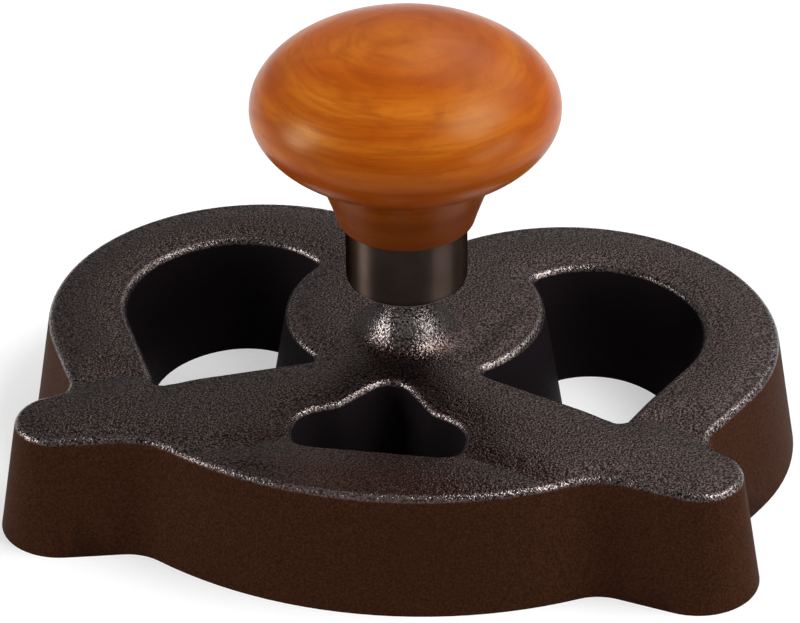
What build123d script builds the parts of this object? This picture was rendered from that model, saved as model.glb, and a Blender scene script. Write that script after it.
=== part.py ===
"""Pretzel cookie mold: a cast pretzel body with a turned wooden knob on a neck.

Millimetres, +Z up. The origin lies on the knob's axis, in the plane of the cutting rim that
the mold stands on. -Y is the front, the side of the three-cornered window, and X = 0 is the
mirror plane. Outlines are given at the body's flat top, and the walls widen going down.
"""

import os
from math import atan2, cos, degrees, radians, sin, sqrt, tan

from build123d import *

# Cast body: heights, walls and draft
body_height = 19.7
draft_angle = 9.6
top_edge_radius = 1.4
wall = 2.2
roof = 3.0
roof_corner_radius = 2.0

# Side lobes of the pretzel, which run out straight from the end angle on
lobe_x = 25.3
lobe_y = 4.3
lobe_radius = 32.9
lobe_end_angle = -26.6
crook_radius = 0.8

# Rope ends that stick out in front of the lobes, placed from the lobe's centre
tip_reach = 9.8
tip_bearing = -56.3
tip_radius = 6.5
tip_back_angle = -32.5
tip_front_angle = -14.0

# Front curve, and the dip between it and each rope end
front_y = -44.7
front_radius = 61.7
dip_radius = 11.1

# Side eyes: an arc along the lobe, a straight arm in front and the round hub inside
eye_x = 27.3
eye_y = 5.8
eye_radius = 19.2
eye_start_angle = 64.8
eye_end_angle = -25.7
eye_corner_radius = 1.5
hub_corner_y = 19.4
arm_x = 24.0
arm_y = -14.4
arm_angle = -23.5
hub_y = 8.0
hub_radius = 20.6

# Three-cornered window in front: its corners before rounding, right side
window_apex_y = -11.2
window_knee = (7.3, -21.0)
window_side = (13.7, -24.3)
window_base = (13.2, -32.7)
window_apex_radius = 3.8
window_knee_radius = 2.6
window_side_radius = 5.6
window_base_radius = 4.0

# Neck that carries the knob, with its flare onto the top plane
neck_radius = 4.1
neck_height = 10.0
neck_flare_width = 5.6
neck_flare_height = 8.4

# Boss under the neck, hollowed for the screw's head
boss_wall = 1.7
boss_bottom = 3.4
seat_height = 8.4

# Drawn steel ferrule
ferrule_radius = 9.5
ferrule_length = 11.4
ferrule_wall = 0.8
ferrule_bottom_radius = 1.4

# Turned knob: an oval crown over an oval bowl that runs into a short waist
knob_radius = 23.8
knob_height = 31.8
knob_crown = 12.5
knob_bowl = 11.8
cove_radius = 14.5
waist_radius = 12.4
waist_overhang = 1.2
cove_fillet_radius = 3.0
spigot_chamfer = 0.8

# Screw, washers and insert
screw_radius = 2.0
screw_length = 40.0
head_radius = 3.9
head_height = 2.6
head_edge_radius = 1.1
recess_width = 1.0
recess_length = 4.4
recess_depth = 1.5
washer_radius = 4.5
washer_thickness = 0.8
lock_washer_radius = 3.6
lock_washer_thickness = 1.0
lock_washer_gap = 0.9
insert_radius = 3.1
insert_length = 10.0
groove_depth = 0.35
groove_width = 0.8
groove_count = 3

# Clearances
screw_clearance = 0.15
thread_clearance = 0.05
spigot_clearance = 0.15
insert_clearance = 0.05
washer_clearance = 0.4
point_clearance = 1.5
insert_sink = 0.5
cut_margin = 1.0

# Heights and radii that follow from the sizes above
draft_slope = tan(radians(draft_angle))
neck_top = body_height + neck_height
ferrule_top = neck_top + ferrule_length
knob_top = ferrule_top + knob_height
spigot_bottom = neck_top + ferrule_wall
washer_bottom = seat_height - washer_thickness
head_top = washer_bottom - lock_washer_thickness
screw_top = head_top + screw_length
insert_bottom = spigot_bottom + insert_sink
insert_top = insert_bottom + insert_length
screw_hole_radius = screw_radius + screw_clearance
counterbore_radius = washer_radius + washer_clearance
boss_radius = counterbore_radius + boss_wall


def direction(angle):
    """Unit vector at an angle in degrees, seen from above."""
    return Vector(cos(radians(angle)), sin(radians(angle)))


def polar(centre, radius, angle):
    """Point on a circle at an angle in degrees."""
    return centre + direction(angle) * radius


def angle_from(centre, point):
    """Angle in degrees at which a point lies from a centre."""
    return degrees(atan2(point.Y - centre.Y, point.X - centre.X))


def meet_lines(p, u, q, v):
    """Where the line through p along u crosses the line through q along v."""
    w = q - p
    return p + u * ((w.X * v.Y - w.Y * v.X) / (u.X * v.Y - u.Y * v.X))


def meet_circle(p, u, centre, radius):
    """Where the line through p along the unit vector u leaves a circle."""
    w = p - centre
    b = w.dot(u)
    return p + u * (sqrt(b * b - w.dot(w) + radius * radius) - b)


def meet_circles(c1, r1, c2, r2):
    """Crossing of two circles that lies to the left of the way from c1 to c2."""
    span = c2 - c1
    along = (r1 * r1 - r2 * r2 + span.length**2) / (2 * span.length)
    across = sqrt(r1 * r1 - along * along)
    u = span.normalized()
    return c1 + u * along + Vector(-u.Y, u.X) * across


def short_arc(centre, start, end):
    """Arc about centre from start to end, the short way round."""
    middle = (start - centre) + (end - centre)
    radius = (start - centre).length
    return ThreePointArc(start, centre + middle.normalized() * radius, end)


def oval_arc(middle, rise, start, end):
    """Part of the knob's oval profile about a height on the axis, between two angles."""
    bend = cos(radians(end - start) / 2)
    points = []
    for angle, reach in [(start, 1), ((start + end) / 2, 1 / bend), (end, 1)]:
        way = direction(angle) * reach
        points.append((knob_radius * way.X, middle + rise * way.Y))
    return Bezier(*points, weights=[1, bend, 1])


def mirrored(part):
    """The same shape on the other side of the X = 0 plane."""
    return mirror(part, about=Plane.YZ)


def body_outline(grow):
    """Outer outline of the pretzel, moved outward by grow."""
    lobe = Vector(lobe_x, lobe_y)
    lobe_r = lobe_radius + grow
    notch = Vector(0, lobe_y + sqrt(lobe_r**2 - lobe_x**2))
    lobe_middle = polar(lobe, lobe_r, (angle_from(lobe, notch) + lobe_end_angle) / 2)
    lobe_end = polar(lobe, lobe_r, lobe_end_angle)
    tip = polar(lobe, lobe_radius + tip_reach, tip_bearing)
    tip_back = polar(tip, tip_radius + grow, tip_back_angle + 90)
    tip_end = polar(tip, tip_radius + grow, (tip_back_angle + tip_front_angle) / 2)
    tip_front = polar(tip, tip_radius + grow, tip_front_angle - 90)
    lobe_run = direction(lobe_end_angle - 90)
    crook = meet_lines(lobe_end, lobe_run, tip_back, direction(tip_back_angle))
    front = Vector(0, front_y + front_radius)
    front_r = front_radius + grow
    tip_run = direction(tip_front_angle)
    dip = meet_circle(tip_front - tip_run * tip.X, tip_run, front, front_r)
    half = [
        short_arc(front, Vector(0, front_y - grow), dip),
        Line(dip, tip_front),
        ThreePointArc(tip_front, tip_end, tip_back),
        Line(tip_back, crook),
        Line(crook, lobe_end),
        ThreePointArc(lobe_end, lobe_middle, notch),
    ]
    face = make_face(half + [mirrored(edge) for edge in reversed(half)])
    for corner, radius in [(dip, dip_radius - grow), (crook, crook_radius), (notch, crook_radius)]:
        places = [corner, Vector(-corner.X, corner.Y)]
        corners = [v for v in face.vertices() if min((Vector(v) - p).length for p in places) < 0.01]
        face = fillet(corners, radius)
    return face


def eye_outline(grow):
    """Outline of the right eye, moved outward by grow."""
    eye = Vector(eye_x, eye_y)
    hub = Vector(0, hub_y)
    eye_r = eye_radius + grow
    hub_r = hub_radius - grow
    outward = direction(eye_start_angle)
    corner = Vector(sqrt(hub_radius**2 - (hub_corner_y - hub_y) ** 2), hub_corner_y)
    chord = eye + outward * eye_radius - corner
    back_r = chord.dot(chord) / (2 * chord.dot(outward))
    back = eye + outward * (eye_radius - back_r)
    top = meet_circles(hub, hub_r, back, back_r + grow)
    start = eye + outward * eye_r
    middle = polar(eye, eye_r, (eye_start_angle + eye_end_angle) / 2)
    end = polar(eye, eye_r, eye_end_angle)
    arm = polar(Vector(arm_x, arm_y), grow, arm_angle - 90)
    arm_run = direction(arm_angle)
    inner = meet_circle(arm - arm_run * arm_x, arm_run, hub, hub_r)
    outer = meet_lines(end, direction(eye_end_angle - 90), arm, arm_run)
    return make_face(
        [
            short_arc(hub, top, inner),
            Line(inner, outer),
            Line(outer, end),
            ThreePointArc(end, middle, start),
            short_arc(back, start, top),
        ]
    )


def window_outline(grow):
    """Outline of the three-cornered window, moved outward by grow."""
    right = [window_base, window_side, window_knee]
    left = [(-x, y) for x, y in reversed(right)]
    radii = [window_base_radius, window_side_radius, window_knee_radius]
    line = FilletPolyline(
        (0, window_apex_y),
        *left,
        *right,
        radius=[window_apex_radius, *reversed(radii), *radii],
        close=True,
    )
    return make_face(line.offset_2d(grow) if grow else line)


def standing_block(grow, height):
    """Pretzel block on z = 0 that narrows going up, without its holes."""
    foot = body_outline(grow + draft_slope * body_height)
    return extrude(foot, amount=height, taper=draft_angle)


def hanging_block(outline, grow):
    """Block through the body that is widest above its top and narrows going down."""
    depth = body_height + 2 * cut_margin
    block = extrude(outline(grow + draft_slope * cut_margin), amount=depth, taper=draft_angle)
    return Pos(0, 0, body_height + cut_margin) * mirror(block, about=Plane.XY)


def is_corner(block, edge):
    """True for an edge that runs the block's full height between walls that meet at an angle."""
    if edge.bounding_box().size.Z < body_height:
        return False
    middle = edge @ 0.5
    faces = [f for f in block.faces() if any(edge.is_same(other) for other in f.edges())]
    return faces[0].normal_at(middle).dot(faces[1].normal_at(middle)) < 0.98


def hole_blocks(grow):
    """The two eyes and the window as blocks, moved outward by grow."""
    eye = hanging_block(eye_outline, grow)
    corners = [edge for edge in eye.edges() if is_corner(eye, edge)]
    eye = fillet(corners, eye_corner_radius + grow)
    return [eye, mirrored(eye), hanging_block(window_outline, grow)]


def round_top(part, height, radius):
    """Round every edge that lies in the plane at the given height."""
    edges = [e for e in part.edges() if e.bounding_box().min.Z > height - 0.01]
    return fillet(edges, radius)


def make_pretzel():
    """Drafted pretzel with its three holes and rounded top edges."""
    block = standing_block(0, body_height)
    for hole in hole_blocks(0):
        block -= hole
    return round_top(block, body_height, top_edge_radius)


def make_hollow():
    """Space inside the walls and under the roof, open at the cutting rim."""
    ceiling = body_height - roof
    space = standing_block(-wall, ceiling)
    for hole in hole_blocks(wall):
        space -= hole
    return round_top(space, ceiling, roof_corner_radius)


def make_neck():
    """Slim neck that flares onto the flat top, revolved about Z."""
    flare_outer = neck_radius + neck_flare_width
    flare_top = body_height + neck_flare_height
    flare = [(flare_outer, body_height), (neck_radius, body_height), (neck_radius, flare_top)]
    root = body_height - roof / 2
    outline = [
        Line((0, root), (flare_outer, root)),
        Line((flare_outer, root), (flare_outer, body_height)),
        Bezier(*flare, weights=[1, cos(radians(45)), 1]),
        Line((neck_radius, flare_top), (neck_radius, neck_top)),
        Line((neck_radius, neck_top), (0, neck_top)),
        Line((0, neck_top), (0, root)),
    ]
    return turned(make_face(outline))


def turned(profile):
    """Solid of revolution about Z from a face drawn as radius and height."""
    return revolve(Plane.XZ * profile, axis=Axis.Z)


def rod(radius, bottom, top):
    """Cylinder on the Z axis between two heights."""
    return Pos(0, 0, bottom) * Cylinder(radius, top - bottom, align=(Align.CENTER, Align.CENTER, Align.MIN))


def make_body():
    """Hollow pretzel with the neck on top and the screw boss under the roof."""
    body = make_pretzel() - make_hollow()
    body += make_neck()
    body += rod(boss_radius, boss_bottom, body_height - roof / 2)
    body -= rod(screw_hole_radius, boss_bottom - cut_margin, neck_top + cut_margin)
    body -= rod(counterbore_radius, boss_bottom - cut_margin, seat_height)
    return body


def make_ferrule():
    """Cup that wraps the knob's spigot, with a hole in its floor for the screw."""
    cup = rod(ferrule_radius, neck_top, ferrule_top)
    cup = fillet(cup.edges().group_by(Axis.Z)[0], ferrule_bottom_radius)
    cup -= rod(ferrule_radius - ferrule_wall, spigot_bottom, ferrule_top + cut_margin)
    return cup - rod(screw_hole_radius, neck_top - cut_margin, spigot_bottom + cut_margin)


def make_knob():
    """Turned knob with a spigot for the ferrule and a stepped hole for insert and screw."""
    equator = knob_top - knob_crown
    drop = knob_bowl * sqrt(1 - (cove_radius / knob_radius) ** 2)
    cove = Vector(cove_radius, equator - drop)
    waist = Vector(waist_radius, (cove.Y + ferrule_top) / 2)
    shoulder = Vector(ferrule_radius + waist_overhang, ferrule_top)
    spigot_radius = ferrule_radius - ferrule_wall - spigot_clearance
    bowl_start = -degrees(atan2(drop / knob_bowl, cove_radius / knob_radius))
    outline = [
        Line((0, spigot_bottom), (spigot_radius, spigot_bottom)),
        Line((spigot_radius, spigot_bottom), (spigot_radius, ferrule_top)),
        Line((spigot_radius, ferrule_top), shoulder),
        ThreePointArc(shoulder, waist, cove),
        oval_arc(equator, knob_bowl, bowl_start, 0),
        oval_arc(equator, knob_crown, 0, 90),
        Line((0, knob_top), (0, spigot_bottom)),
    ]
    profile = make_face(outline)
    profile = fillet(profile.vertices().sort_by_distance(cove)[0], cove_fillet_radius)
    foot = profile.vertices().sort_by_distance((spigot_radius, spigot_bottom))[0]
    profile = chamfer(foot, spigot_chamfer)
    knob = turned(profile)
    knob -= rod(insert_radius + insert_clearance, spigot_bottom - cut_margin, insert_top)
    return knob - rod(screw_hole_radius, spigot_bottom, screw_top + point_clearance)


def make_insert():
    """Brass insert with grip grooves round it, pressed into the knob."""
    insert = rod(insert_radius, insert_bottom, insert_top)
    insert -= rod(screw_radius + thread_clearance, insert_bottom - cut_margin, insert_top + cut_margin)
    pitch = insert_length / (groove_count + 1)
    for number in range(groove_count):
        middle = insert_bottom + pitch * (number + 1)
        groove = rod(insert_radius + cut_margin, middle - groove_width / 2, middle + groove_width / 2)
        insert -= groove - rod(insert_radius - groove_depth, insert_bottom, insert_top)
    return insert


def make_screw():
    """Pan head screw that comes up from below, with a cross recess in its head."""
    head_bottom = head_top - head_height
    head = rod(head_radius, head_bottom, head_top)
    head = fillet(head.edges().group_by(Axis.Z)[0], head_edge_radius)
    recess = Box(recess_length, recess_width, 2 * recess_depth)
    recess += Box(recess_width, recess_length, 2 * recess_depth)
    return head + rod(screw_radius, head_top, screw_top) - Pos(0, 0, head_bottom) * recess


def make_washer():
    """Flat washer against the seat in the boss."""
    return rod(washer_radius, washer_bottom, seat_height) - rod(
        screw_hole_radius, washer_bottom - cut_margin, seat_height + cut_margin
    )


def make_lock_washer():
    """Split lock washer between the flat washer and the screw's head."""
    ring = rod(lock_washer_radius, head_top, washer_bottom)
    ring -= rod(screw_hole_radius, head_top - cut_margin, washer_bottom + cut_margin)
    split = Box(lock_washer_radius, lock_washer_gap, 4 * lock_washer_thickness)
    return ring - Pos(lock_washer_radius / 2 + screw_radius / 2, 0, head_top) * split


parts = {
    "mold_body": make_body(),
    "ferrule": make_ferrule(),
    "knob": make_knob(),
    "threaded_insert": make_insert(),
    "fixing_screw": make_screw(),
    "flat_washer": make_washer(),
    "lock_washer": make_lock_washer(),
}

os.makedirs("parts", exist_ok=True)
for name, part in parts.items():
    export_step(part, f"parts/{name}.step")
    print(name, round(part.volume, 1), "mm3")
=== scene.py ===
"""Pretzel cookie mold in a pale studio: dark grained casting, dark steel ferrule, stained knob."""

from math import atan2, cos, hypot, radians, sin

import bmesh
import bpy
import numpy as np
from mathutils import Matrix, Vector
from mathutils.bvhtree import BVHTree
from mathutils.geometry import area_tri, delaunay_2d_cdt
from mathutils.kdtree import KDTree


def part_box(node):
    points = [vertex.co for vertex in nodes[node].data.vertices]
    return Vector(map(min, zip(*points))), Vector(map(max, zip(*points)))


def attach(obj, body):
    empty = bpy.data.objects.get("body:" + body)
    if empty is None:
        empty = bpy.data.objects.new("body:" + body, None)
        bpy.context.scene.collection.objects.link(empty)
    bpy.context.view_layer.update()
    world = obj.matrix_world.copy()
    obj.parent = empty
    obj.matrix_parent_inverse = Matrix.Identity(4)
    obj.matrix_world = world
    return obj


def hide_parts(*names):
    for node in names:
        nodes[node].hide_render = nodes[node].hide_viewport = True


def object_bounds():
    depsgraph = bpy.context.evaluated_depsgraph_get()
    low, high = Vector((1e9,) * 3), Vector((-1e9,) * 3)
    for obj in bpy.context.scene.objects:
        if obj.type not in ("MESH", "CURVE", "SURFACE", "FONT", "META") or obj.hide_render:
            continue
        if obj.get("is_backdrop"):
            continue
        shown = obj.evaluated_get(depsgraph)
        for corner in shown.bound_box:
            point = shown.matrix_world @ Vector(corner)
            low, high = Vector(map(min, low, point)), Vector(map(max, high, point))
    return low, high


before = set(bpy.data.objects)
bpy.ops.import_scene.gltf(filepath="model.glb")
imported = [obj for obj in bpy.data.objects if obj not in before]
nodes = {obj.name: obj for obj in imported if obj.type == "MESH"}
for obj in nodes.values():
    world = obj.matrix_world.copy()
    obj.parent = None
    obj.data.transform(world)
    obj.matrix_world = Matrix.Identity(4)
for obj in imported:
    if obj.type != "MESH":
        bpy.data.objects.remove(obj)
cad_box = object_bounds()
MM = 0.001
MM_PER_METRE = 1000


# ---------------------------------------------------------------- node helpers

# Sockets of a Mix node that mixes colours
MIX_FACTOR, MIX_A, MIX_B, MIX_RESULT = 0, 6, 7, 2


def new_material(name):
    mat = bpy.data.materials.new(name)
    mat.use_nodes = True
    mat.node_tree.nodes.clear()
    return mat, mat.node_tree


def add(tree, kind, inputs=None, **settings):
    """New node with its settings, and with each input linked to a socket or set to a value."""
    node = tree.nodes.new(kind)
    for key, value in settings.items():
        setattr(node, key, value)
    for key, value in (inputs or {}).items():
        if isinstance(value, bpy.types.NodeSocket):
            tree.links.new(value, node.inputs[key])
        else:
            node.inputs[key].default_value = value
    return node


def ramp(tree, factor, stops):
    node = add(tree, "ShaderNodeValToRGB", {"Fac": factor})
    elements = node.color_ramp.elements
    while len(elements) < len(stops):
        elements.new(0.5)
    for element, (position, colour) in zip(elements, stops):
        element.position = position
        element.color = (*colour, 1)
    return node.outputs["Color"]


def noise(tree, vector, scale, detail, roughness, distortion=0.0):
    inputs = {
        "Vector": vector,
        "Scale": scale,
        "Detail": detail,
        "Roughness": roughness,
        "Distortion": distortion,
    }
    return add(tree, "ShaderNodeTexNoise", inputs).outputs["Fac"]


def maths(tree, operation, a, b=0.0, c=0.0):
    return add(tree, "ShaderNodeMath", {0: a, 1: b, 2: c}, operation=operation).outputs[0]


def scaled(tree, vector, scale):
    return add(tree, "ShaderNodeMapping", {"Vector": vector, "Scale": scale}).outputs[0]


def place(tree):
    return add(tree, "ShaderNodeTexCoord").outputs["Object"]


def upright(tree, vector):
    """The upright part of a place or a direction."""
    return add(tree, "ShaderNodeSeparateXYZ", {0: vector}).outputs["Z"]


def mix(tree, factor, a, b):
    """Colour a where the factor is 0 and colour b where it is 1."""
    a, b = (c if isinstance(c, bpy.types.NodeSocket) else (*c, 1) for c in (a, b))
    node = add(tree, "ShaderNodeMix", {MIX_FACTOR: factor, MIX_A: a, MIX_B: b}, data_type="RGBA")
    return node.outputs[MIX_RESULT]


def ranged(tree, value, low, high, to_low, to_high, kind="LINEAR"):
    inputs = {
        "Value": value,
        "From Min": low,
        "From Max": high,
        "To Min": to_low,
        "To Max": to_high,
    }
    return add(tree, "ShaderNodeMapRange", inputs, interpolation_type=kind).outputs[0]


def rising(tree, value, span):
    """0 below the span's low end, 1 above its high end, and a soft step between."""
    return ranged(tree, value, *span, 0.0, 1.0, "SMOOTHSTEP")


def falling(tree, value, span, full=1.0):
    """The full value below the span's low end, 0 above its high end, and a soft step between."""
    return ranged(tree, value, *span, full, 0.0, "SMOOTHSTEP")


def bump(tree, height, strength, distance):
    inputs = {"Height": height, "Strength": strength, "Distance": distance}
    return add(tree, "ShaderNodeBump", inputs).outputs[0]


def finish_surface(tree, shader):
    add(tree, "ShaderNodeOutputMaterial", {"Surface": shader.outputs[0]})


def finish_principled(tree, inputs):
    finish_surface(tree, add(tree, "ShaderNodeBsdfPrincipled", inputs))


# ---------------------------------------------------------------- relief of the casting

TOP = 19.7 * MM
EDGE_RADIUS = 1.4 * MM
FLAT = 0.0002 * MM
DOUBLES = 1e-6

# Strips of the rounded edges and walls, and grid of the new top
CUT_STEP = 1.5 * MM
CUT_DISTANCE = 1e-7
CUT_DEPTH = 1.1 * EDGE_RADIUS
GRID_STEP = 0.9 * MM
ROW_STEP = GRID_STEP * 0.866
BORDER_GAP = 0.55 * GRID_STEP
SLIVER = 0.01 * MM**2
CDT_ALL_TRIANGLES = 0
CDT_EPSILON = 1e-9
SMOOTH_ANGLE = radians(35)

# Where one strand dips under another: ends and middle handle of a curve, then depth at the curve
# and how far the dip reaches to its left and to its right, all in millimetres
CREASES = [
    ((35.4, -19.0), (42.5, -16.2), (49.2, -23.6), 0.75, 12.0, 5.5),
    ((-49.2, -23.6), (-42.5, -16.2), (-35.4, -19.0), 0.75, 12.0, 5.5),
    ((13.0, -31.2), (20.5, -34.9), (31.0, -37.8), 0.6, 6.0, 9.0),
    ((-31.0, -37.8), (-20.5, -34.9), (-13.0, -31.2), 0.6, 6.0, 9.0),
    ((19.0, 14.2), (12.2, 3.5), (10.8, -7.5), 0.3, 6.0, 8.0),
]
CURVE_STEPS = 60

# Fall of the top towards its rims, and how far below and above the top the relief fades out, all
# in millimetres. The border within the flare's foot is no rim.
CROWN_DEPTH = 0.35
CROWN_WIDTH = 6.0
REACH_DOWN = 3
REACH_UP = 2
FLARE_FOOT = 9.7 + 0.5


def bezier(start, handle, end):
    t = np.linspace(0, 1, CURVE_STEPS)[:, None]
    start, handle, end = (np.array(p, float) for p in (start, handle, end))
    return (1 - t) ** 2 * start + 2 * t * (1 - t) * handle + t**2 * end


def nearest(points, line):
    """Distance of each point to a line's nearest vertex, and that vertex's index."""
    tree = KDTree(len(line))
    for index, (x, y) in enumerate(line):
        tree.insert((x, y, 0), index)
    tree.balance()
    found = [tree.find((x, y, 0)) for x, y in points]
    return np.array([f[2] for f in found]), np.array([f[1] for f in found])


def left_of(points, line, index):
    """True for each point to the left of the line, judged at its nearest vertex."""
    run = np.gradient(line, axis=0)[index]
    offset = points - line[index]
    return run[:, 0] * offset[:, 1] > run[:, 1] * offset[:, 0]


def fade(distance, width):
    return (1 - np.clip(distance / width, 0, 1)) ** 2


def relief(points, rim):
    """How far the top lies below the flat plane at each point, in millimetres."""
    drop = CROWN_DEPTH * fade(nearest(points, rim)[0], CROWN_WIDTH)
    for start, handle, end, depth, left, right in CREASES:
        line = bezier(start, handle, end)
        distance, index = nearest(points, line)
        width = np.where(left_of(points, line, index), left, right)
        drop = np.maximum(drop, depth * fade(distance, width))
    return drop


def at_top(vert):
    return abs(vert.co.z - TOP) < FLAT


def is_top(face):
    return all(at_top(v) for v in face.verts)


def cut_strips(mesh):
    """Cut the rounded edges and the walls below them into short strips."""
    low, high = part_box("mold_body")
    band = [
        f
        for f in mesh.faces
        if not is_top(f) and any(TOP - CUT_DEPTH < v.co.z < TOP + FLAT for v in f.verts)
    ]
    edges = {e for f in band for e in f.edges}
    verts = {v for f in band for v in f.verts}
    geometry = band + list(edges) + list(verts)
    for axis in (0, 1):
        normal = Vector([float(i == axis) for i in range(3)])
        for here in np.arange(low[axis] + CUT_STEP, high[axis], CUT_STEP):
            cut = bmesh.ops.bisect_plane(
                mesh, geom=geometry, dist=CUT_DISTANCE, plane_co=normal * here, plane_no=normal
            )
            geometry = cut["geom"]


def sides(triangle):
    return [frozenset(side) for side in zip(triangle, triangle[1:] + triangle[:1])]


def patches(triangles, fences):
    """Groups of triangles that can be reached from each other without crossing a fence."""
    beside = {}
    for index, triangle in enumerate(triangles):
        for side in sides(triangle):
            beside.setdefault(side, []).append(index)
    beside = {side: indexes for side, indexes in beside.items() if side not in fences}
    waiting = set(range(len(triangles)))
    while waiting:
        front = [waiting.pop()]
        patch = []
        while front:
            triangle = triangles[front.pop()]
            patch.append(triangle)
            for side in sides(triangle):
                for index in beside.get(side, ()):
                    if index in waiting:
                        waiting.discard(index)
                        front.append(index)
        yield patch


def refill_top(mesh):
    """Replace the flat top by an even grid of triangles inside the same borders.

    The new triangles first span the holes too, so only the patches over the old top are kept.
    """
    flat = [f for f in mesh.faces if is_top(f)]
    solid = BVHTree.FromBMesh(mesh)
    bmesh.ops.delete(mesh, geom=flat, context="FACES")
    border = [e for e in mesh.edges if e.is_boundary and all(at_top(v) for v in e.verts)]
    corners = list({v for e in border for v in e.verts})
    place_of = {v: i for i, v in enumerate(corners)}
    outline = np.array([v.co.xy for v in corners])
    low, high = outline.min(axis=0), outline.max(axis=0)
    rows = []
    for row, y in enumerate(np.arange(low[1], high[1], ROW_STEP)):
        shift = GRID_STEP / 2 if row % 2 else 0.0
        rows += [(x, y) for x in np.arange(low[0] + shift, high[0], GRID_STEP)]
    grid = np.array(rows)
    inner = [Vector(p) for p in grid[nearest(grid, outline)[0] > BORDER_GAP]]
    points = [v.co.xy for v in corners] + inner
    edges = [(place_of[e.verts[0]], place_of[e.verts[1]]) for e in border]
    spots, lines, triangles, origins, sources, _ = delaunay_2d_cdt(
        points, edges, [], CDT_ALL_TRIANGLES, CDT_EPSILON
    )
    fences = {frozenset(line) for line, source in zip(lines, sources) if source}
    made = {}
    for patch in patches(triangles, fences):
        area, largest = max((area_tri(*(spots[i] for i in t)), t) for t in patch)
        middle = sum((spots[i] for i in largest), Vector((0, 0))) / 3
        hit = solid.ray_cast(Vector((*middle, TOP + MM)), Vector((0, 0, -1)))[0]
        if area < SLIVER or hit is None or abs(hit.z - TOP) > FLAT:
            continue
        for triangle in patch:
            for i in triangle:
                old = [origin for origin in origins[i] if origin < len(corners)]
                if i not in made:
                    made[i] = corners[old[0]] if old else mesh.verts.new((*spots[i], TOP))
            mesh.faces.new([made[i] for i in triangle])
    return outline * MM_PER_METRE


def shape_casting():
    """The casting with crowned strands that dip under each other, in the place of the plain one."""
    data = nodes["mold_body"].data.copy()
    mesh = bmesh.new()
    mesh.from_mesh(data)
    bmesh.ops.remove_doubles(mesh, verts=mesh.verts, dist=DOUBLES)
    cut_strips(mesh)
    border = refill_top(mesh)
    rim = border[np.hypot(border[:, 0], border[:, 1]) > FLARE_FOOT]
    moving = [v for v in mesh.verts if TOP - REACH_DOWN * MM < v.co.z < TOP + REACH_UP * MM]
    places = np.array([v.co for v in moving]) * MM_PER_METRE
    height = places[:, 2] - TOP / MM
    share_above = 1 - np.clip(height / REACH_UP, 0, 1)
    share_below = 1 - np.clip(-height / REACH_DOWN, 0, 1) ** 2
    drop = relief(places[:, :2], rim) * np.where(height > 0, share_above, share_below)
    for vert, fall in zip(moving, drop):
        vert.co.z -= fall * MM
    bmesh.ops.recalc_face_normals(mesh, faces=mesh.faces)
    mesh.to_mesh(data)
    mesh.free()
    casting = bpy.data.objects.new("grained_casting", data)
    bpy.context.scene.collection.objects.link(casting)
    bpy.context.view_layer.objects.active = casting
    casting.select_set(True)
    bpy.ops.object.shade_smooth_by_angle(angle=SMOOTH_ANGLE)
    casting.select_set(False)
    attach(casting, "root")
    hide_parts("mold_body")
    return casting


# ---------------------------------------------------------------- coating of the casting

# Upright cylinders over the two eyes and the window: centre and radius, in millimetres, as are
# the neck's reach, the reach of the strand in front, and the widths over which they blend
WELLS = [((-29.0, 4.0), 22.0), ((29.0, 4.0), 22.0), ((0.0, -26.0), 13.5)]
WELL_BLEND = 2
NECK_REACH = 10
STRAND_Y = -37
STRAND_REACH = 8
STRAND_BLEND = 10

# Upward share of the surface's normal between which a look comes or goes
TOP_FACING = (0.18, 0.3)
RIM_FACING = (0.19, 0.33)
LEVEL_FACING = (0.5, 0.8)
FLAT_FACING = (0.95, 0.993)
FLARE_FACING = (0.5, 0.85)
RIM_HEIGHT = (TOP - EDGE_RADIUS, TOP - 0.6 * EDGE_RADIUS)

FINE_GRAIN = 2900
COARSE_GRAIN = 1600
BLOTCHES = 60
GRAIN_DEPTH = 0.13 * MM

# Walls: grain and blotches in a warm brown, a painted reflection of warm surroundings; the wells
# get the near-black instead
WALL_GRAIN_AND_WARM_REFLECTION = [(0.34, (0.028, 0.0096, 0.0042)), (0.68, (0.062, 0.0228, 0.0118))]
TOP_GRAIN = [(0.40, (0.019, 0.0120, 0.0110)), (0.60, (0.122, 0.087, 0.080))]
WALL_BLOTCH = (0.031, 0.0108, 0.0044)
WELL_BLACK = (0.0095, 0.0070, 0.0085)
# Painted sheen: a pale brown that lightens the front strand's top
STRAND_SHEEN_BROWN = (0.22, 0.150, 0.130)
# Pale grains on the rims: partly rubbed wear, partly painted glints; on the neck's steep flare,
# painted glints
WORN_AND_GLINT_BRIGHT = (0.34, 0.31, 0.30)
RIM_WEAR_AND_GLINT = 0.5
NECK_GLINT = 0.9


def beyond(tree, at, x, y, radius, blend):
    """0 inside an upright cylinder about a point of the plan, 1 outside, in millimetres."""
    plan = add(tree, "ShaderNodeVectorMath", {0: at, 1: (1, 1, 0)}, operation="MULTIPLY")
    ends = {0: plan.outputs[0], 1: (x * MM, y * MM, 0)}
    away = add(tree, "ShaderNodeVectorMath", ends, operation="DISTANCE").outputs["Value"]
    return ranged(tree, away, radius * MM, (radius + blend) * MM, 0.0, 1.0)


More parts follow.
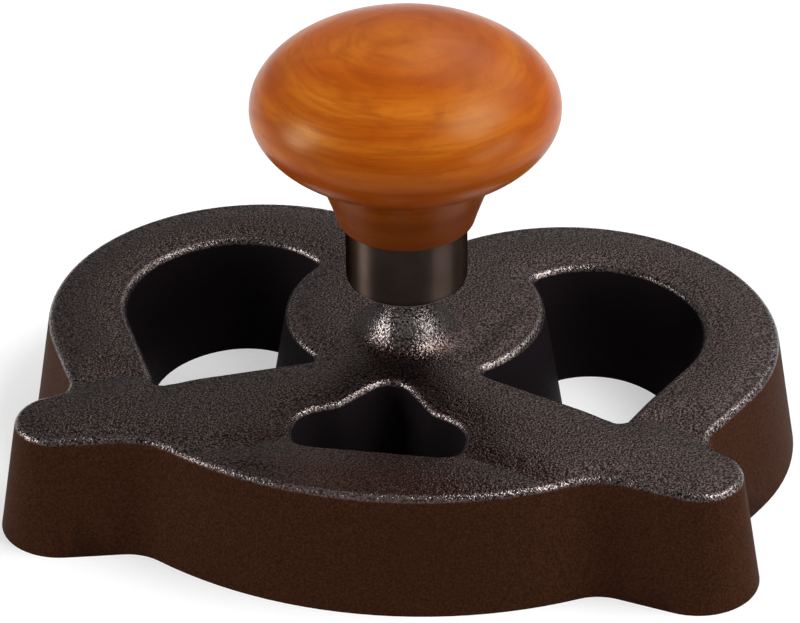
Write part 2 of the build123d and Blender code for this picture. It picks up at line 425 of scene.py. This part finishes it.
def coating_material():
    """Dark coating, glossy and grained on top, near-black in the wells. The outer walls' warm brown
    is a painted reflection; pale grains on the rims are partly rubbed wear and partly painted
    glints, and those on the neck's steep flare are painted glints; the front strand carries a
    painted lighter sheen.
    """
    mat, tree = new_material("dark_grained_coating")
    at = place(tree)
    off_neck = beyond(tree, at, 0, 0, NECK_REACH, WELL_BLEND)
    on_neck = maths(tree, "SUBTRACT", 1.0, off_neck)
    outside = off_neck
    for (x, y), radius in WELLS:
        outside = maths(tree, "MINIMUM", beyond(tree, at, x, y, radius, WELL_BLEND), outside)

    upward = upright(tree, add(tree, "ShaderNodeTexCoord").outputs["Normal"])
    at_rim = rising(tree, upright(tree, at), RIM_HEIGHT)
    level = maths(tree, "MAXIMUM", rising(tree, upward, LEVEL_FACING), on_neck)
    upper = maths(tree, "MULTIPLY", rising(tree, upward, TOP_FACING), at_rim)
    upper = maths(tree, "MAXIMUM", upper, level)
    edges = maths(tree, "MULTIPLY", rising(tree, upward, RIM_FACING), at_rim)
    edges = maths(tree, "MAXIMUM", edges, level)
    rounded = maths(tree, "MULTIPLY", edges, falling(tree, upward, FLAT_FACING))

    grain = noise(tree, at, FINE_GRAIN, 1.0, 0.5)
    coarse = noise(tree, at, COARSE_GRAIN, 2.0, 0.5)
    blotch = noise(tree, at, BLOTCHES, 3.0, 0.55)
    height = maths(tree, "ADD", grain, maths(tree, "MULTIPLY", coarse, 0.6))

    # Painted reflection: the outer walls are brown, the walls in the wells near-black
    wall = ramp(tree, grain, WALL_GRAIN_AND_WARM_REFLECTION)
    wall = mix(tree, maths(tree, "MULTIPLY", blotch, 0.5), wall, WALL_BLOTCH)
    wall = mix(tree, outside, WELL_BLACK, wall)

    # Painted sheen: the front strand's top is lightened towards pale brown, for light its forward
    # slope misses
    off_strand = beyond(tree, at, 0, STRAND_Y, STRAND_REACH, STRAND_BLEND)
    on_strand = maths(tree, "SUBTRACT", 1.0, off_strand)
    sheened = maths(tree, "MULTIPLY", on_strand, ranged(tree, grain, 0.3, 0.7, 0.2, 0.7))
    top = mix(tree, sheened, ramp(tree, grain, TOP_GRAIN), STRAND_SHEEN_BROWN)
    # Painted glints: pale grains on the neck's steep flare, and on the rounded rims together with
    # rubbed wear
    steep_neck = ranged(tree, upward, *FLARE_FACING, NECK_GLINT, 0.0)
    wear_and_glint = maths(tree, "MULTIPLY", on_neck, steep_neck)
    wear_and_glint = maths(tree, "MULTIPLY_ADD", off_neck, RIM_WEAR_AND_GLINT, wear_and_glint)
    spark = maths(tree, "MULTIPLY", rounded, ranged(tree, grain, 0.34, 0.7, 0.0, 1.0))
    top = mix(tree, maths(tree, "MULTIPLY", spark, wear_and_glint), top, WORN_AND_GLINT_BRIGHT)

    rough = ranged(tree, coarse, 0.3, 0.7, 0.20, 0.28)
    rough_walls = ranged(tree, upper, 0, 1, 0.34, 0.0)
    finish_principled(
        tree,
        {
            "Base Color": mix(tree, upper, wall, top),
            "Metallic": maths(tree, "MULTIPLY", upper, 0.95),
            "Roughness": maths(tree, "ADD", rough, rough_walls),
            "Normal": bump(tree, height, ranged(tree, upper, 0, 1, 0.3, 1.0), GRAIN_DEPTH),
            "Specular IOR Level": 0.02,
        },
    )
    return mat


# ---------------------------------------------------------------- other materials

WOOD_FIGURE = [
    (0.34, (0.31, 0.052, 0.0012)),
    (0.5, (0.40, 0.080, 0.0025)),
    (0.68, (0.52, 0.145, 0.009)),
]
STREAK_BROWN = (0.26, 0.040, 0.001)
MOTTLE_BROWN = (0.27, 0.040, 0.001)
# Painted shade on the lower bowl and waist
SHADE_BROWN = (0.11, 0.016, 0.001)
VARNISH_TINT = (1.0, 0.82, 0.38, 1)
STREAK_SCALE = (90, 130, 1700)
STREAK_DEPTH = 0.08 * MM
SHADE_HEIGHT = (44 * MM, 59 * MM)
DULL_HEIGHT = (43 * MM, 51 * MM)

STEEL_SMUDGE = [(0.3, (0.050, 0.034, 0.027)), (0.75, (0.078, 0.056, 0.046))]
# Painted highlight: pale band along the ferrule's lower lip
LIP_HIGHLIGHT = (0.5, 0.44, 0.41)
LIP_WIDTH = (0.35 * MM, 0.6 * MM)
SCRATCH_SCALE = (700, 700, 9000)
SCRATCH_DEPTH = 0.04 * MM
DARK_GLINT = (0.12, 0.1, 0.1, 1)

ZINC = (0.62, 0.62, 0.6)
BRASS = (0.72, 0.5, 0.2)


def wood_material():
    """Stained, varnished wood: level rings, fine streaks, mottling, painted shade darkening the
    lower bowl and waist, and duller at the waist.
    """
    mat, tree = new_material("stained_wood")
    at = place(tree)
    warp = noise(tree, scaled(tree, at, (1, 1, 2)), 26, 3.0, 0.55)
    rings = add(
        tree,
        "ShaderNodeTexWave",
        {
            "Vector": scaled(tree, at, (0.4, 0.25, 1)),
            "Scale": 75.0,
            "Distortion": 3.0,
            "Detail": 2.0,
            "Detail Scale": 0.9,
            "Detail Roughness": 0.5,
        },
        wave_type="BANDS",
        bands_direction="Z",
        wave_profile="SIN",
    )
    streaks = noise(tree, scaled(tree, at, STREAK_SCALE), 1.0, 4.0, 0.65, 0.4)
    mottle = noise(tree, scaled(tree, at, (1, 1, 1.8)), 120, 4.0, 0.6, 0.8)
    ring_part = maths(tree, "MULTIPLY", rings.outputs["Fac"], 0.12)
    figure = maths(tree, "ADD", ring_part, maths(tree, "MULTIPLY", warp, 0.88))
    colour = ramp(tree, figure, WOOD_FIGURE)
    colour = mix(tree, ranged(tree, streaks, 0.44, 0.62, 0.0, 0.45), colour, STREAK_BROWN)
    colour = mix(tree, ranged(tree, mottle, 0.5, 0.68, 0.0, 0.42), colour, MOTTLE_BROWN)
    above = upright(tree, at)
    # Painted shade: darker towards the lower bowl and the waist
    colour = mix(tree, falling(tree, above, SHADE_HEIGHT, 0.78), colour, SHADE_BROWN)
    rough = ranged(tree, mottle, 0.3, 0.7, 0.26, 0.33)
    finish_principled(
        tree,
        {
            "Base Color": colour,
            "Roughness": maths(tree, "ADD", rough, falling(tree, above, DULL_HEIGHT, 0.22)),
            "Normal": bump(tree, streaks, 0.2, STREAK_DEPTH),
            "Specular IOR Level": 0.25,
            "Specular Tint": VARNISH_TINT,
        },
    )
    return mat


def ferrule_material():
    """Dark drawn steel, turned round and round, with a pale band painted along its lower lip as a
    highlight.
    """
    mat, tree = new_material("dark_drawn_steel")
    at = place(tree)
    scratches = noise(tree, scaled(tree, at, SCRATCH_SCALE), 1.0, 3.0, 0.6)
    smudge = noise(tree, at, 140, 3.0, 0.5)
    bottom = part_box("ferrule")[0][2]
    lip_low, lip_high = (bottom + width for width in LIP_WIDTH)
    # Painted highlight: a pale, non-metal band along the lower lip
    lip_highlight = ranged(tree, upright(tree, at), lip_low, lip_high, 1.0, 0.0)
    tangent = add(tree, "ShaderNodeTangent", direction_type="RADIAL", axis="Z").outputs[0]
    finish_principled(
        tree,
        {
            "Base Color": mix(tree, lip_highlight, ramp(tree, smudge, STEEL_SMUDGE), LIP_HIGHLIGHT),
            "Metallic": maths(tree, "SUBTRACT", 1.0, lip_highlight),
            "Roughness": ranged(tree, scratches, 0.3, 0.7, 0.40, 0.48),
            "Normal": bump(tree, scratches, 0.15, SCRATCH_DEPTH),
            "Anisotropic": 0.97,
            "Anisotropic Rotation": 0.25,
            "Tangent": tangent,
            "Specular Tint": DARK_GLINT,
        },
    )
    return mat


def plated_material(name, colour, roughness):
    """Bright metal with fine darker marks."""
    mat, tree = new_material(name)
    marks = noise(tree, place(tree), 1500, 3.0, 0.6)
    darker = [c * 0.6 for c in colour]
    finish_principled(
        tree,
        {
            "Base Color": mix(tree, maths(tree, "MULTIPLY", marks, 0.4), colour, darker),
            "Metallic": 1.0,
            "Roughness": roughness,
            "Normal": bump(tree, marks, 0.2, SCRATCH_DEPTH),
        },
    )
    return mat


def dress(thing, mat):
    thing.data.materials.clear()
    thing.data.materials.append(mat)


dress(shape_casting(), coating_material())
dress(nodes["knob"], wood_material())
dress(nodes["ferrule"], ferrule_material())
steel = plated_material("plated_steel", ZINC, 0.35)
for name in ("fixing_screw", "flat_washer", "lock_washer"):
    dress(nodes[name], steel)
dress(nodes["threaded_insert"], plated_material("turned_brass", BRASS, 0.3))


# ---------------------------------------------------------------- camera

# Solved on the photo: degrees about the target, and pixels of an 800 by 623 picture
FRAME_WIDTH = 800
FRAME_HEIGHT = 623
AZIMUTH = 9.346
ELEVATION = 32.627
DISTANCE = 547.31 * MM
TARGET = Vector((0, 0, 20.0 * MM))
TARGET_PIXEL = (407.19, 330.08)
FOCAL_PIXELS = 3462.95
ROLL = -0.476
SENSOR_WIDTH = 36


def direction(azimuth, elevation):
    """Unit vector from the object, with azimuth 0 at its front, -Y, and 90 at its right."""
    a, e = radians(azimuth), radians(elevation)
    return Vector((sin(a) * cos(e), -cos(a) * cos(e), sin(e)))


def camera_rotation(forward):
    """World to camera: a look-at view, rolled and then panned so the target lands on its pixel."""
    right = forward.cross(Vector((0, 0, 1))).normalized()
    down = forward.cross(right)
    look = Matrix((right, down, forward))
    x = (TARGET_PIXEL[0] - FRAME_WIDTH / 2) / FOCAL_PIXELS
    y = (TARGET_PIXEL[1] - FRAME_HEIGHT / 2) / FOCAL_PIXELS
    pan = Matrix.Rotation(atan2(x, 1), 3, "Y")
    tilt = Matrix.Rotation(atan2(-y, hypot(x, 1)), 3, "X")
    return pan @ tilt @ Matrix.Rotation(radians(ROLL), 3, "Z") @ look


def make_camera():
    data = bpy.data.cameras.new("camera")
    camera = bpy.data.objects.new("camera", data)
    bpy.context.scene.collection.objects.link(camera)
    forward = -direction(AZIMUTH, ELEVATION)
    flip = Matrix(((1, 0, 0), (0, -1, 0), (0, 0, -1)))
    pose = (flip @ camera_rotation(forward)).transposed().to_4x4()
    pose.translation = TARGET - forward * DISTANCE
    camera.matrix_world = pose
    data.sensor_width = SENSOR_WIDTH
    data.lens = FOCAL_PIXELS * SENSOR_WIDTH / FRAME_WIDTH
    data.clip_start = 0.01
    data.clip_end = 20
    bpy.context.scene.camera = camera


# ---------------------------------------------------------------- stage and light

FLOOR_RADII = (0.6, 1.2, 2.4)
FLOOR_SIDES = 64
FLOOR_COLOUR = (0.55, 0.55, 0.55, 1)
FLOOR_GLOW = 0.48
SKY_STRENGTH = 0.26
WHITE = (1, 1, 1, 1)
LAMP_AIM = Vector((0, 0, 0.04))

# Name, azimuth and elevation in degrees, distance, width and height in metres, power in watts
SOFT_BOXES = [
    ("left_box", -74, 20, 1.2, 0.4, 0.75, 9),
    ("right_box", 92, 54, 1.2, 0.7, 0.55, 11),
    ("side_box", 76, 12, 1.3, 0.9, 0.4, 5.5),
    ("back_box", 151, 46, 1.4, 1.4, 0.8, 5),
]


def floor_material():
    """Pale paper. Its glow whitens it for the camera, mirrors and glass, and lights nothing."""
    mat, tree = new_material("pale_floor")
    paths = add(tree, "ShaderNodeLightPath").outputs
    seen = maths(tree, "MAXIMUM", paths["Is Camera Ray"], paths["Is Glossy Ray"])
    seen = maths(tree, "MAXIMUM", seen, paths["Is Transmission Ray"])
    strength = maths(tree, "MULTIPLY", seen, FLOOR_GLOW)
    paper = add(tree, "ShaderNodeBsdfDiffuse", {"Color": FLOOR_COLOUR}).outputs[0]
    glow = add(tree, "ShaderNodeEmission", {"Color": WHITE, "Strength": strength}).outputs[0]
    finish_surface(tree, add(tree, "ShaderNodeAddShader", {0: paper, 1: glow}))
    return mat


def make_floor():
    """Flat, round floor that reaches past the picture's edges in every view."""
    mesh = bmesh.new()
    centre = mesh.verts.new((0, 0, 0))
    turns = [radians(360 * i / FLOOR_SIDES) for i in range(FLOOR_SIDES)]
    rings = [[mesh.verts.new((r * cos(a), r * sin(a), 0)) for a in turns] for r in FLOOR_RADII]
    for i in range(FLOOR_SIDES):
        after = (i + 1) % FLOOR_SIDES
        mesh.faces.new((centre, rings[0][i], rings[0][after]))
        for inner, outer in zip(rings, rings[1:]):
            mesh.faces.new((inner[i], outer[i], outer[after], inner[after]))
    data = bpy.data.meshes.new("studio_floor")
    mesh.to_mesh(data)
    mesh.free()
    data.shade_smooth()
    floor = bpy.data.objects.new("studio_floor", data)
    bpy.context.scene.collection.objects.link(floor)
    dress(floor, floor_material())
    floor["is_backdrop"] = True


def make_world():
    world = bpy.data.worlds.new("studio")
    bpy.context.scene.world = world
    world.use_nodes = True
    tree = world.node_tree
    tree.nodes.clear()
    sky = add(tree, "ShaderNodeBackground", {"Color": WHITE, "Strength": SKY_STRENGTH})
    add(tree, "ShaderNodeOutputWorld", {"Surface": sky.outputs[0]})


def make_soft_box(name, azimuth, elevation, distance, width, height, power):
    """Area lamp aimed at the object."""
    back = direction(azimuth, elevation)
    data = bpy.data.lights.new(name, "AREA")
    data.shape = "RECTANGLE"
    data.size = width
    data.size_y = height
    data.energy = power
    lamp = bpy.data.objects.new(name, data)
    bpy.context.scene.collection.objects.link(lamp)
    lamp.location = LAMP_AIM + back * distance
    lamp.rotation_euler = (-back).to_track_quat("-Z", "Y").to_euler()


make_camera()
make_floor()
make_world()
for soft_box in SOFT_BOXES:
    make_soft_box(*soft_box)
bpy.context.scene.view_settings.view_transform = "Standard"

[[list(corner) for corner in box] for box in (cad_box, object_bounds())]
